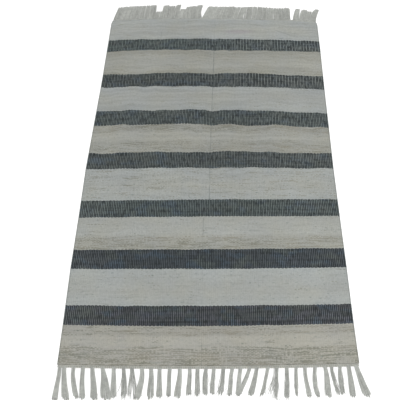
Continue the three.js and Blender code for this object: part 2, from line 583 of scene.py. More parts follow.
class NodeBoard:
    """Adds and joins the nodes of one node tree.

    The colour sockets of a Mix node come after those for numbers and vectors, so they go by number.
    """

    MIX_FIRST = 6
    MIX_SECOND = 7
    MIX_RESULT = 2

    def __init__(self, tree: bpy.types.NodeTree) -> None:
        """Takes the tree to work on."""
        self.tree = tree

    def add(self, kind: str, **settings: object) -> Node:
        """Adds a node.

        Args:
            kind: The node's type name.
            settings: Properties to set on it.

        Returns:
            The new node.
        """
        node = self.tree.nodes.new(kind)
        for name, value in settings.items():
            setattr(node, name, value)
        return node

    def feed(self, socket: Socket, value: Value | tuple) -> None:
        """Links a socket into an input, or sets the input to a constant.

        Args:
            socket: The input.
            value: The socket or the constant.
        """
        if isinstance(value, bpy.types.NodeSocket):
            self.tree.links.new(value, socket)
        else:
            socket.default_value = value

    def fill(self, node: Node, values: dict[str, Value | tuple]) -> Node:
        """Feeds a node's inputs by their names.

        Args:
            node: The node.
            values: Sockets or constants by input name.

        Returns:
            The same node.
        """
        for name, value in values.items():
            self.feed(node.inputs[name], value)
        return node

    def group(self, tree: bpy.types.NodeTree, values: dict[str, Value | tuple]) -> Node:
        """Places a node group and feeds its inputs by their names."""
        return self.fill(self.add("ShaderNodeGroup", node_tree=tree), values)

    def math(self, operation: str, first: Value, second: Value = 0.0) -> Socket:
        """Adds a Math node.

        Args:
            operation: What it does.
            first: Its first value.
            second: Its second value, where the operation has one.

        Returns:
            The node's result.
        """
        node = self.add("ShaderNodeMath", operation=operation)
        self.feed(node.inputs[0], first)
        self.feed(node.inputs[1], second)
        return node.outputs[0]

    def chain(self, operation: str, values: tuple[Value, ...]) -> Value:
        """Joins values in turn by one operation.

        Args:
            operation: What the Math nodes do.
            values: The values from first to last.

        Returns:
            The result.
        """
        result = values[0]
        for value in values[1:]:
            result = self.math(operation, result, value)
        return result

    def product(self, *values: Value) -> Value:
        """Multiplies values in turn."""
        return self.chain("MULTIPLY", values)

    def total(self, *values: Value) -> Value:
        """Adds values in turn."""
        return self.chain("ADD", values)

    def minus(self, first: Value, second: Value) -> Socket:
        """Takes the second value from the first."""
        return self.math("SUBTRACT", first, second)

    def distance(self, first: Value, second: Value) -> Socket:
        """How far two values are apart."""
        return self.math("ABSOLUTE", self.minus(first, second))

    def ease(self, value: Socket, ease: Ease) -> Socket:
        """Adds a smooth step.

        Args:
            value: The value that is mapped.
            ease: The step.

        Returns:
            The node's result.
        """
        node = self.add("ShaderNodeMapRange", interpolation_type="SMOOTHSTEP")
        for socket, entry in zip(node.inputs, (value, ease.low, ease.high, ease.start, ease.end)):
            self.feed(socket, entry)
        return node.outputs[0]

    def mix(self, factor: Value, first: Socket | Colour, second: Socket | Colour,
            blend: str = "MIX") -> Socket:
        """Adds a colour mix.

        Args:
            factor: The share of the second colour.
            first: The first colour.
            second: The second colour.
            blend: How they are mixed.

        Returns:
            The mixed colour.
        """
        node = self.add("ShaderNodeMix", data_type="RGBA", blend_type=blend)
        self.feed(node.inputs[0], factor)
        self.feed(node.inputs[self.MIX_FIRST], first)
        self.feed(node.inputs[self.MIX_SECOND], second)
        return node.outputs[self.MIX_RESULT]

    def shaded(self, colour: Socket, shade: Socket) -> Socket:
        """Multiplies a colour by a grey."""
        return self.mix(1.0, colour, self.vector(shade, shade, shade), "MULTIPLY")

    def vector(self, x: Value, y: Value, z: Value = 0.0) -> Socket:
        """Joins three values into a vector.

        Args:
            x: The first value.
            y: The second value.
            z: The third value.

        Returns:
            The vector.
        """
        node = self.add("ShaderNodeCombineXYZ")
        for socket, entry in zip(node.inputs, (x, y, z)):
            self.feed(socket, entry)
        return node.outputs[0]

    def split(self, vector: Socket) -> tuple[Socket, Socket, Socket]:
        """Splits a vector into its three values.

        Args:
            vector: The vector.

        Returns:
            Its values along X, Y and Z.
        """
        node = self.add("ShaderNodeSeparateXYZ")
        self.feed(node.inputs[0], vector)
        return node.outputs[0], node.outputs[1], node.outputs[2]

    def noise(self, place: Socket, scale: Value = 1.0, detail: float = 2.0, rough: float = 0.5) -> Socket:
        """Adds a noise texture.

        Args:
            place: Where it is read.
            scale: How fine it is.
            detail: How many finer layers it has.
            rough: How strong those layers are.

        Returns:
            The noise, around one half.
        """
        node = self.add("ShaderNodeTexNoise", noise_dimensions="3D")
        self.fill(node, {"Vector": place, "Scale": scale, "Detail": detail, "Roughness": rough})
        return node.outputs[0]

    def grain(self, across: Socket, along: Socket, grain: Grain) -> Socket:
        """Adds a noise that is stretched over the cloth.

        Args:
            across: The place across.
            along: The place along.
            grain: The noise.

        Returns:
            The noise, around one half.
        """
        cells = self.product(across, grain.across), self.product(along, grain.along)
        return self.noise(self.vector(*cells, grain.layer), 1.0, grain.detail, grain.rough)

    def ramp(self, factor: Socket, stops: Stops) -> Socket:
        """Adds a colour ramp.

        Args:
            factor: Where the ramp is read.
            stops: Positions from 0 to 1, in rising order, with their colours.

        Returns:
            The ramp's colour.
        """
        node = self.add("ShaderNodeValToRGB")
        elements = node.color_ramp.elements
        while len(elements) < len(stops):
            elements.new(1.0)
        for element, (position, colour) in zip(elements, stops):
            element.position = min(max(position, 0.0), 1.0)
            element.color = colour
        self.feed(node.inputs[0], factor)
        return node.outputs[0]

    def emboss(self, shader: Node, height: Socket, strength: float, depth: float) -> None:
        """Gives a shader a fine relief.

        Args:
            shader: The shader.
            height: The height over the surface.
            strength: How strongly the relief shows.
            depth: Its depth in metres.
        """
        bump = self.add("ShaderNodeBump")
        self.fill(bump, {"Strength": strength, "Distance": depth, "Height": height})
        self.feed(shader.inputs["Normal"], bump.outputs[0])


def start_material(name: str) -> tuple[bpy.types.Material, NodeBoard, Node]:
    """Makes a plain material.

    Args:
        name: The material's name.

    Returns:
        The material, a board for its nodes and its shader.
    """
    material = bpy.data.materials.new(name)
    material.use_nodes = True
    return material, NodeBoard(material.node_tree), material.node_tree.nodes["Principled BSDF"]


class WeaveGroups:
    """The node groups that the rug's materials share."""

    FINE_DETAIL = 3.0
    FINE_ROUGH = 0.65
    FINE_SHARE = 0.45
    COARSE_SCALE = 0.13
    COARSE_SHARE = 0.55
    BEAD_SHIFT = 0.5
    LONG_STREAKS = Grain(8.0, 410.0, rough=0.6)
    LONG_SHARE = 0.65
    SHORT_STREAKS = Grain(26.0, 540.0, 7.0, detail=1.0)
    SHORT_SHARE = 0.35
    STREAK_FLOOR = 0.64
    STREAK_RANGE = 0.2
    STREAK_EDGE = Ease(0.0, 0.075)
    MARK_EDGE = Ease(0.0, 1.0, 1.0, 0.0)

    @staticmethod
    def start(name: str, inputs: dict[str, SocketKind],
              outputs: tuple[str, ...]) -> tuple[NodeBoard, dict[str, Socket], dict[str, Socket]]:
        """Makes an empty node group.

        Args:
            name: The group's name.
            inputs: Kinds of socket by input name.
            outputs: The names of the values that it puts out.

        Returns:
            A board for the group, and its input and output sockets by name.
        """
        tree = bpy.data.node_groups.new(name, "ShaderNodeTree")
        for label, kind in inputs.items():
            tree.interface.new_socket(name=label, in_out="INPUT", socket_type=kind.value)
        for label in outputs:
            tree.interface.new_socket(name=label, in_out="OUTPUT", socket_type=SocketKind.VALUE.value)
        board = NodeBoard(tree)
        entry = board.add("NodeGroupInput")
        leave = board.add("NodeGroupOutput")
        taken = {label: entry.outputs[label] for label in inputs}
        given = {label: leave.inputs[label] for label in outputs}
        return board, taken, given

    @classmethod
    def fibre(cls) -> bpy.types.NodeTree:
        """Makes the fuzz of spun fibres: a fine tone and a fine height.

        Returns:
            The node group.
        """
        inputs = {"Vector": SocketKind.VECTOR, "Scale": SocketKind.VALUE}
        board, taken, given = cls.start("spun_fibre", inputs, ("Tone", "Height"))
        fine = board.noise(taken["Vector"], taken["Scale"], cls.FINE_DETAIL, cls.FINE_ROUGH)
        coarse = board.noise(taken["Vector"], board.product(taken["Scale"], cls.COARSE_SCALE))
        tone = board.total(board.product(fine, cls.FINE_SHARE), board.product(coarse, cls.COARSE_SHARE))
        board.feed(given["Tone"], tone)
        board.feed(given["Height"], fine)
        return board.tree

    @classmethod
    def lattice(cls) -> bpy.types.NodeTree:
        """Makes the weft-faced lattice: ribs across, picks along, every other rib half a bead further.

        Returns:
            The node group.
        """
        inputs = {"Across": SocketKind.VALUE, "Along": SocketKind.VALUE}
        board, taken, given = cls.start("weft_lattice", inputs, ("Crest", "Bead", "Pick", "Parity"))
        parity = board.math("MODULO", board.math("FLOOR", taken["Across"]), 2.0)
        shift = board.product(parity, cls.BEAD_SHIFT)
        shifted = board.total(taken["Along"], shift)
        crest = board.math("SINE", board.product(board.math("FRACT", taken["Across"]), math.pi))
        bead = board.math("SINE", board.product(board.math("FRACT", shifted), math.pi))
        board.feed(given["Crest"], crest)
        board.feed(given["Bead"], board.math("SQRT", board.product(crest, bead)))
        board.feed(given["Pick"], board.minus(board.math("FLOOR", shifted), shift))
        board.feed(given["Parity"], parity)
        return board.tree

    @classmethod
    def soft_mark(cls) -> bpy.types.NodeTree:
        """Makes one soft long mark around a place, turned by the given sine and cosine.

        Returns:
            The node group.
        """
        inputs = {"Place": SocketKind.VECTOR, "Centre": SocketKind.VECTOR}
        for label in ("Half Length", "Half Width", "Sine", "Cosine"):
            inputs[label] = SocketKind.VALUE
        board, taken, given = cls.start("soft_mark", inputs, ("Mask",))
        offset = board.add("ShaderNodeVectorMath", operation="SUBTRACT")
        board.feed(offset.inputs[0], taken["Place"])
        board.feed(offset.inputs[1], taken["Centre"])
        x, y, _ = board.split(offset.outputs[0])
        sine, cosine = taken["Sine"], taken["Cosine"]
        run = board.total(board.product(x, cosine), board.product(y, sine))
        rise = board.minus(board.product(y, cosine), board.product(x, sine))
        long_share = board.math("POWER", board.math("DIVIDE", run, taken["Half Length"]), 2.0)
        wide_share = board.math("POWER", board.math("DIVIDE", rise, taken["Half Width"]), 2.0)
        board.feed(given["Mask"], board.ease(board.total(long_share, wide_share), cls.MARK_EDGE))
        return board.tree

    @classmethod
    def streaks(cls) -> bpy.types.NodeTree:
        """Makes long streaks along the weft, more of them as the level rises.

        Returns:
            The node group.
        """
        inputs = {label: SocketKind.VALUE for label in ("Across", "Along", "Level")}
        board, taken, given = cls.start("weft_streaks", inputs, ("Mask",))
        runs = board.grain(taken["Across"], taken["Along"], cls.LONG_STREAKS)
        dashes = board.grain(taken["Across"], taken["Along"], cls.SHORT_STREAKS)
        both = board.total(board.product(runs, cls.LONG_SHARE), board.product(dashes, cls.SHORT_SHARE))
        floor = board.minus(cls.STREAK_FLOOR, board.product(taken["Level"], cls.STREAK_RANGE))
        board.feed(given["Mask"], board.ease(board.minus(both, floor), cls.STREAK_EDGE))
        return board.tree


@dataclass(frozen=True)
class ClothPlace:
    """Where on the cloth a point is: as shares of its width and length, by its pick, and in metres."""

    across: Socket
    along: Socket
    pick: Socket
    metres_along: Socket
    metres: Socket


@dataclass(frozen=True)
class LightBands:
    """The light bands: pale yarns with grain, streaks and flecks, and painted light and shade of the
    cloth's ripples.
    """

    drift: Ease = Ease(0.2, 0.6, 0.006, 0.012)
    hue: Grain = Grain(2.0, 40.0, 3.0)
    hue_turn: Ease = Ease(0.4, 0.6)
    streak_share: float = 0.74
    grain: Grain = Grain(11.0, 270.0, 4.0, rough=0.6)
    grain_share: Ease = Ease(0.52, 0.75, 0.0, 0.55)
    ripple: Grain = Grain(3.0, 105.0, 23.0, rough=0.55)
    ripple_turn: Ease = Ease(0.36, 0.64, 1.0, -0.6)
    ripple_shade_depth: Ease = Ease(0.3, 0.65, 0.035, 0.085)
    fleck: Grain = Grain(62.0, 380.0, 11.0, detail=1.0)
    fleck_edge: Ease = Ease(0.655, 0.74)
    fleck_share: float = 0.7

    def colour(self, board: NodeBoard, groups: Groups, plan: RugPlan, place: ClothPlace,
               wander: Socket) -> Socket:
        """Colours the light bands.

        Args:
            board: The material's board.
            groups: The shared node groups by name.
            plan: The rug's outline.
            place: The place on the cloth.
            wander: How the picks stray, around zero.

        Returns:
            The light bands' colour.
        """
        across, pick = place.across, place.pick
        strayed = board.total(pick, board.product(wander, board.ease(place.along, self.drift)))
        streaks = board.group(groups["streaks"], {
            "Across": across,
            "Along": strayed,
            "Level": board.ramp(pick, plan.levels(STREAK_LEVELS)),
        })
        streak_share = board.product(streaks.outputs["Mask"], self.streak_share)
        hue = board.ease(board.grain(across, pick, self.hue), self.hue_turn)
        streak_colour = board.mix(hue, Yarn.OLIVE_STREAK.dye, Yarn.TAN_STREAK.dye)
        grain = board.ease(board.grain(across, strayed, self.grain), self.grain_share)
        # Painted light and shade: wavy patches of the colour are made lighter and darker, as ripples in the
        # cloth would be lit.
        ripple = board.ease(board.grain(across, strayed, self.ripple), self.ripple_turn)
        ripple = board.product(ripple, board.ease(pick, self.ripple_shade_depth))
        flecks = board.ease(board.grain(across, place.along, self.fleck), self.fleck_edge)
        flecks = board.product(flecks, board.ramp(pick, plan.levels(FLECK_LEVELS)), self.fleck_share)

        colour = board.ramp(pick, plan.stops(LIGHT_SHADES))
        colour = board.mix(grain, colour, Yarn.GREY_STREAK_AND_SHADE.dye)
        colour = board.shaded(colour, board.minus(1.0, ripple))
        colour = board.mix(streak_share, colour, streak_colour)
        return board.mix(flecks, colour, Yarn.CHARCOAL.dye)


@dataclass(frozen=True)
class DarkBands:
    """The dark bands: tinted charcoal whose ribs show as fine lines, pale on the crests and near-black in
    the grooves.

    Every other rib is painted darker towards the far end, as painted shade of a rib lying deeper. The lines
    are paler at the far right and near left.
    """

    near_tint: Ease = Ease(0.14, 0.2, 1.0, 0.2)
    tint_share: Ease = Ease(0.5, 0.66, 0.0, 0.6)
    bead: Grain = Grain(160.0, 75.0, 9.0)
    bead_share: Ease = Ease(0.3, 0.7, 0.74, 1.2)
    row: Grain = Grain(5.0, 210.0, 17.0)
    row_share: Ease = Ease(0.36, 0.64, 0.84, 1.12)
    patch: Grain = Grain(95.0, 48.0, 31.0, detail=1.0)
    patch_share: Ease = Ease(0.3, 0.65, 0.6, 1.1)
    far: Ease = Ease(0.68, 0.78)
    right: Ease = Ease(0.35, 0.65)
    near: Ease = Ease(0.42, 0.5, 1.0, 0.0)
    left: Ease = Ease(0.0, 0.25, 1.0, 0.0)
    sunk_rib_shade: Ease = Ease(0.35, 0.85, 0.03, 0.2)
    far_right_sunk_rib_shade: float = 0.07
    line: Ease = Ease(0.45, 0.95)
    rib_groove_shade: float = 0.9
    pale: Ease = Ease(0.25, 0.42, 0.148, 0.24)
    pale_across: Ease = Ease(0.35, 0.9, 0.93, 1.15)
    far_right_pale: float = 0.4
    near_left_pale: float = 0.5

    def colour(self, board: NodeBoard, plan: RugPlan, place: ClothPlace, lattice: Node) -> Socket:
        """Colours the dark bands.

        Args:
            board: The material's board.
            plan: The rug's outline.
            place: The place on the cloth.
            lattice: The weave's lattice.

        Returns:
            The dark bands' colour.
        """
        across, pick = place.across, place.pick
        base = board.ramp(pick, plan.stops(DARK_SHADES))
        near_only = board.ease(pick, self.near_tint)
        for tint in DARK_TINTS:
            share = board.ease(board.grain(across, place.metres_along, tint.grain), self.tint_share)
            share = board.product(share, near_only) if tint.near_only else share
            base = board.mix(share, base, tint.yarn.dye)

        far_right = board.product(board.ease(pick, self.far), board.ease(across, self.right))
        near_left = board.product(board.ease(pick, self.near), board.ease(across, self.left))
        lively = board.ease(board.grain(across, pick, self.bead), self.bead_share)
        patch = board.minus(board.grain(across, pick, self.patch), 0.5)
        patch = board.product(patch, board.ease(pick, self.patch_share))
        # Painted shade: every other rib is painted darker, as if it lay deeper.
        sunk_rib_shade = board.total(board.ease(pick, self.sunk_rib_shade), board.product(far_right, self.far_right_sunk_rib_shade))
        sunk_rib_shade_share = board.product(lattice.outputs["Parity"], sunk_rib_shade)
        row = board.ease(board.grain(across, pick, self.row), self.row_share)
        crest = board.product(lattice.outputs["Crest"], lively, board.total(patch, 1.0),
                              board.minus(1.0, sunk_rib_shade_share), row)

        # The pale crests are partly a pale weft and partly painted highlight.
        lift = board.total(board.product(far_right, self.far_right_pale),
                           board.product(near_left, self.near_left_pale))
        pale_share = board.product(board.ease(pick, self.pale), board.ease(across, self.pale_across),
                                   board.total(1.0, lift))
        pale = board.mix(pale_share, base, Yarn.COOL_PALE.dye)
        # Painted shade: the grooves between the ribs are painted near-black.
        rib_groove_shaded = board.mix(self.rib_groove_shade, base, Yarn.NEAR_BLACK.dye)
        return board.mix(board.ease(crest, self.line), rib_groove_shaded, pale)


@dataclass(frozen=True)
class WearAndShade:
    """The cloth's uneven tone, darker middle, warm and cool patches, and painted shade along the fold line
    and the selvedges.
    """

    tone: Ease = Ease(0.25, 0.75, 0.9, 1.1)
    broad_scale: float = 4.5
    broad: Ease = Ease(0.3, 0.7, 0.965, 1.035)
    middle: float = 0.47
    # Darker along the middle of the cloth, lighter towards the selvedges.
    darker_middle: Ease = Ease(0.05, 0.5, 0.978, 1.012)
    patch: Grain = Grain(9.0, 15.0, 41.0)
    warmth: Ease = Ease(0.34, 0.66, -1.0, 1.0)
    more_red: float = 0.008
    less_blue: float = 0.022
    fold_shade: Ease = Ease(0.0008, 0.0026, 0.6, 0.0)
    fold_shade_breaks: Grain = Grain(0.0, 24.0, 2.0)
    fold_shade_share: Ease = Ease(0.38, 0.54, 0.3, 1.0)
    dark_cover: float = 0.8
    # Painted shade along the selvedges.
    selvedge: Ease = Ease(0.4935, 0.4985, 0.0, 0.4)

    def worn_and_shaded(self, board: NodeBoard, plan: RugPlan, place: ClothPlace, colour: Socket, dark_mask: Socket,
             tone: Socket) -> Socket:
        """Wears the cloth and paints shade along its fold line and its selvedges.

        Args:
            board: The material's board.
            plan: The rug's outline.
            place: The place on the cloth.
            colour: The colour of the marked bands.
            dark_mask: Where the dark bands are, which hide most of the fold line's painted shade.
            tone: The fibres' tone.

        Returns:
            The worn colour, with its painted shade.
        """
        across, along = place.across, place.along
        shade = board.product(
            board.ease(tone, self.tone),
            board.ease(board.noise(place.metres, self.broad_scale), self.broad),
            board.ease(board.distance(across, self.middle), self.darker_middle),
        )
        colour = board.shaded(colour, shade)
        warmth = board.ease(board.grain(across, along, self.patch), self.warmth)
        red = board.total(1.0, board.product(warmth, self.more_red))
        blue = board.minus(1.0, board.product(warmth, self.less_blue))
        colour = board.mix(1.0, colour, board.vector(red, 1.0, blue), "MULTIPLY")

        # Painted shade: the fold line along the creases is painted darker with deep charcoal.
        course = board.ramp(along, [(share, grey(middle)) for share, middle in FOLD_COURSE])
        crease = board.product(
            board.ease(board.distance(across, course), self.fold_shade),
            board.ease(board.grain(across, along, self.fold_shade_breaks), self.fold_shade_share),
            board.ramp(along, plan.levels(FOLD_SHADE_LEVELS)),
            board.minus(1.0, board.product(dark_mask, self.dark_cover)),
        )
        # Painted shade: the last few millimetres at each selvedge are painted darker.
        edge = board.ease(board.distance(across, 0.5), self.selvedge)
        return board.mix(board.math("MAXIMUM", crease, edge), colour, Yarn.DEEP_CHARCOAL.dye)


@dataclass(frozen=True)
class ClothFinish:
    """The banded, streaked weft face of the cloth, sizes in metres."""

    plan: RugPlan
    ribs: int
    length: float
    width: float = 0.9
    pick: float = 0.0024
    rough: float = 0.95
    sheen: float = 0.12
    bump: float = 0.7
    relief: float = 0.0009
    fibre_scale: float = 900.0
    fuzz: float = 0.35
    stray: Grain = Grain(11.0, 11.0)
    edge_drift: Ease = Ease(0.35, 0.6, 0.004, 0.015)
    light: LightBands = LightBands()
    dark: DarkBands = DarkBands()
    wear_and_shade: WearAndShade = WearAndShade()

    def band_mask(self, board: NodeBoard, pick: Socket) -> Value:
        """Finds the dark bands by their edges, which a ramp would round to its own coarse steps.

        Args:
            board: The material's board.
            pick: The pick's place along, from 0 to 1.

        Returns:
            One in the dark bands and zero in the light ones.
        """
        masks = []
        for band in DARK_BANDS:
            entered = board.math("GREATER_THAN", pick, self.plan.share_along(band.near))
            passed = board.math("GREATER_THAN", pick, self.plan.share_along(band.far))
            masks.append(board.minus(entered, passed))
        return board.total(*masks)

    def marked(self, board: NodeBoard, groups: Groups, place: ClothPlace, colour: Socket) -> Socket:
        """Lays the few single marks over the bands.

        Args:
            board: The material's board.
            groups: The shared node groups by name.
            place: The place on the cloth.
            colour: The colour of the bands.

        Returns:
            The marked colour.
        """
        for mark in MARKS:
            tilt = math.radians(mark.tilt)
            spot = board.group(groups["soft_mark"], {
                "Place": place.metres,
                "Centre": (mark.across, mark.along, 0.0),
                "Half Length": mark.half_length,
                "Half Width": mark.half_width,
                "Sine": math.sin(tilt),
                "Cosine": math.cos(tilt),
            })
            colour = board.mix(board.product(spot.outputs["Mask"], mark.strength), colour, mark.yarn.dye)
        return colour

    def material(self, groups: Groups) -> bpy.types.Material:
        """Builds the material.

        Args:
            groups: The shared node groups by name.

        Returns:
            The cloth's material.
        """
        material, board, shader = start_material("woven_bands")
        weave = board.add("ShaderNodeUVMap", uv_map="weave")
        across, along, _ = board.split(weave.outputs[0])
        wander = board.minus(board.grain(across, along, self.stray), 0.5)
        drift = board.product(wander, board.ease(along, self.edge_drift))
        picks = self.length / self.pick
        lattice = board.group(groups["lattice"], {
            "Across": board.product(across, float(self.ribs)),
            "Along": board.product(board.total(along, drift), picks),
        })
        pick = board.math("DIVIDE", lattice.outputs["Pick"], picks)
        metres_along = board.product(along, self.length)
        metres = board.vector(board.product(across, self.width), metres_along)
        place = ClothPlace(across, along, pick, metres_along, metres)
        fibre = board.group(groups["fibre"], {"Vector": metres, "Scale": self.fibre_scale})

        dark_mask = self.band_mask(board, pick)
        light = self.light.colour(board, groups, self.plan, place, wander)
        dark = self.dark.colour(board, self.plan, place, lattice)
        colour = self.marked(board, groups, place, board.mix(dark_mask, light, dark))
        colour = self.wear_and_shade.worn_and_shaded(board, self.plan, place, colour, dark_mask, fibre.outputs["Tone"])
        board.feed(shader.inputs["Base Color"], colour)
        height = board.total(lattice.outputs["Bead"], board.product(fibre.outputs["Height"], self.fuzz))
        board.emboss(shader, height, self.bump, self.relief)
        shader.inputs["Roughness"].default_value = self.rough
        shader.inputs["Sheen Weight"].default_value = self.sheen
        return material


@dataclass(frozen=True)
class FringeFinish:
    """The twisted off-white yarn of the tassels and headings, with painted shade in the twist's grooves."""

    rough: float = 0.92
    sheen: float = 0.15
    plies: float = 2.0
    turns: float = 140.0
    phase: float = 23.0
    bump: float = 0.8
    relief: float = 0.0006
    fibre_scale: float = 1100.0
    fuzz: float = 0.4
    mottle_scale: float = 85.0
    yarn_tone: Ease = Ease(0.0, 1.0, 0.87, 1.08)
    fibre_tone: Ease = Ease(0.25, 0.75, 0.92, 1.06)
    twist_groove_shade: Ease = Ease(0.0, 0.6, 0.8, 1.0)
    mottle_tone: Ease = Ease(0.3, 0.7, 0.9, 1.09)

    def material(self, groups: Groups) -> bpy.types.Material:
        """Builds the material.

        Args:
            groups: The shared node groups by name.

        Returns:
            The fringe's material.
        """
        material, board, shader = start_material("fringe_yarn")
        strand = board.add("ShaderNodeUVMap", uv_map="strand")
        around, length, _ = board.split(strand.outputs[0])
        place = board.add("ShaderNodeTexCoord").outputs["Object"]
        fibre = board.group(groups["fibre"], {"Vector": place, "Scale": self.fibre_scale})
        tone = board.add("ShaderNodeAttribute", attribute_name="tone").outputs["Fac"]
        heading = board.add("ShaderNodeAttribute", attribute_name="heading").outputs["Fac"]

        twist = board.total(board.product(around, self.plies), board.product(length, self.turns),
                            board.product(tone, self.phase))
        groove = board.math("ABSOLUTE", board.math("SINE", board.product(twist, math.pi)))
        # Painted shade: the twist's grooves are painted darker, beside the yarns' own tones and mottle.
        shade = board.product(
            board.ease(tone, self.yarn_tone),
            board.ease(fibre.outputs["Tone"], self.fibre_tone),
            board.ease(groove, self.twist_groove_shade),
            board.ease(board.noise(place, self.mottle_scale), self.mottle_tone),
        )
        yarn = board.mix(heading, Yarn.FRINGE.dye, Yarn.HEADING.dye)
        board.feed(shader.inputs["Base Color"], board.shaded(yarn, shade))
        height = board.total(groove, board.product(fibre.outputs["Height"], self.fuzz))
        board.emboss(shader, height, self.bump, self.relief)
        shader.inputs["Roughness"].default_value = self.rough
        shader.inputs["Sheen Weight"].default_value = self.sheen
        return material


@dataclass
class WovenCloth:
    """The woven cloth: one ribbed sheet with a flat underside, sizes in millimetres."""

    plan: RugPlan
    ribs: int = 150
    steps_per_rib: int = 4
    rows: int = 150
    thickness: float = 5.0
    relief: float = 0.9
    selvedge_height: float = 2.2
    width: float = 900.0
    swell: float = 0.5
    slow_share: float = 0.6
    slow_lengths: tuple[float, float] = (83.0, 231.0)
    slow_turns: tuple[float, float] = (2.1, 5.3)
    ripple_share: float = 0.4
    ripple_length: float = 37.0
    ripple_turn: float = 3.0
    ripple_sides: tuple[float, float] = (0.55, 0.95)
    crease_fade: float = 0.6
    foot_height: float = 0.1
    rim: float = 0.4999
    smooth_angle: float = 65.0
    body: bpy.types.Object | None = field(default=None, init=False)

    def heights(self, across: Array, along: Array) -> Array:
        """Works out the height of the top face: ribs, a slow swell, rippled sides, creases, selvedges.

        Args:
            across: Warp places from -1 to 1.
            along: Weft places, in millimetres.

        Returns:
            The height over the floor at each place, in millimetres.
        """
        phase = (across + 1) / 2 * self.ribs
        crest = np.sqrt(np.abs(np.sin(math.pi * phase)))
        height = self.thickness - self.relief * (1 - crest)
        short, broad = (along / length + turn * across
                        for length, turn in zip(self.slow_lengths, self.slow_turns))
        slow = np.sin(short) * np.sin(broad)
        ripple = np.sin(along / self.ripple_length + self.ripple_turn * across)
        ripple = ripple * smooth_step(*self.ripple_sides, np.abs(across))
        height += self.swell * (self.slow_share * slow + self.ripple_share * ripple) - self.swell
        for crease in CREASES:
            height -= crease.depth * self.pressed(crease, across, along)
        turn = np.clip(1 - (1 - np.abs(across)) * self.ribs, 0.0, 1.0)
        return self.selvedge_height + (height - self.selvedge_height) * np.sqrt(1 - turn**2)

    def pressed(self, crease: Crease, across: Array, along: Array) -> Array:
        """Works out how far a crease presses the top face down.

        Args:
            crease: The crease.
            across: Warp places from -1 to 1.
            along: Weft places, in millimetres.

        Returns:
            The share of the crease's depth at each place.
        """
        x = (across + 1) / 2 * self.width * MM - crease.across
        y = (along - self.plan.cloth_along(End.NEAR)) * MM - crease.along
        tilt = math.radians(crease.tilt)
        run = np.abs(x * math.cos(tilt) + y * math.sin(tilt)) / crease.half_length
        rise = (y * math.cos(tilt) - x * math.sin(tilt)) / crease.half_width
        return np.exp(-(rise**2)) * (1 - smooth_step(self.crease_fade, 1.0, run))

    def build(self) -> bpy.types.Object:
        """Models the sheet: a grid laid on the plan, its rim drawn down to the floor and closed.

        Returns:
            The cloth's object.
        """
        bpy.ops.object.select_all(action="DESELECT")
        columns = self.ribs * self.steps_per_rib
        bpy.ops.mesh.primitive_grid_add(x_subdivisions=columns, y_subdivisions=self.rows, size=2.0)
        cloth = bpy.context.object
        cloth.name = "rug_cloth"
        mesh = cloth.data
        mesh.name = "rug_cloth"
        points = np.empty(len(mesh.vertices) * 3)
        mesh.vertices.foreach_get("co", points)
        points = points.reshape(-1, 3)
        across = points[:, 0].copy()
        share = (points[:, 1] + 1) / 2
        near, far = self.plan.cloth_along(End.NEAR), self.plan.cloth_along(End.FAR)
        along = near + (far - near) * share
        points[:, 0], points[:, 1] = self.plan.place(across, along)
        points[:, 2] = self.heights(across, along)
        mesh.vertices.foreach_set("co", (points * MM).ravel())
        weave = mesh.attributes.new("weave_place", "FLOAT_VECTOR", "POINT")
        places = np.stack([(across + 1) / 2, share, np.zeros_like(share)], axis=1)
        weave.data.foreach_set("vector", places.ravel())
        mesh.update()

        bpy.ops.object.mode_set(mode="EDIT")
        bpy.ops.mesh.select_mode(type="EDGE")
        bpy.ops.mesh.select_all(action="DESELECT")
        bpy.ops.mesh.select_non_manifold()
        bpy.ops.mesh.extrude_region_move(TRANSFORM_OT_translate={"value": (0.0, 0.0, -self.thickness * MM)})
        bpy.ops.transform.resize(value=(1.0, 1.0, 0.0), center_override=(0.0, 0.0, 0.0))
        bpy.ops.mesh.edge_face_add()
        bpy.ops.mesh.select_all(action="SELECT")
        bpy.ops.mesh.normals_make_consistent(inside=False)
        bpy.ops.object.mode_set(mode="OBJECT")
        self.lay_pattern(mesh)
        bpy.ops.object.shade_smooth_by_angle(angle=math.radians(self.smooth_angle))
        self.body = cloth
        return cloth

    def lay_pattern(self, mesh: bpy.types.Mesh) -> None:
        """Lays the weave's own places into the UV map that the pattern follows.

        The foot of each selvedge is set half a rib further out, so that the pattern runs on round the edge.

        Args:
            mesh: The cloth's mesh.
        """
        places = np.empty(len(mesh.vertices) * 3)
        mesh.attributes["weave_place"].data.foreach_get("vector", places)
        points = np.empty(len(mesh.vertices) * 3)
        mesh.vertices.foreach_get("co", points)
        foot = np.abs(points[2::3]) < self.foot_height * MM
        side = places[0::3] - 0.5
        places[0::3] += foot * np.sign(side) * (np.abs(side) > self.rim) * 0.5 / self.ribs
        corners = np.empty(len(mesh.loops), dtype=np.int32)
        mesh.loops.foreach_get("vertex_index", corners)
        while mesh.uv_layers:
            mesh.uv_layers.remove(mesh.uv_layers[0])
        layer = mesh.uv_layers.new(name="weave")
        layer.data.foreach_set("uv", places.reshape(-1, 3)[corners, :2].ravel())
        mesh.attributes.remove(mesh.attributes["weave_place"])

    def dress(self, groups: Groups) -> None:
        """Gives the cloth its banded finish.

        Args:
            groups: The shared node groups by name.
        """
        near, far = self.plan.cloth_along(End.NEAR), self.plan.cloth_along(End.FAR)
        finish = ClothFinish(self.plan, self.ribs, (far - near) * MM)
        self.body.data.materials.clear()
        self.body.data.materials.append(finish.material(groups))


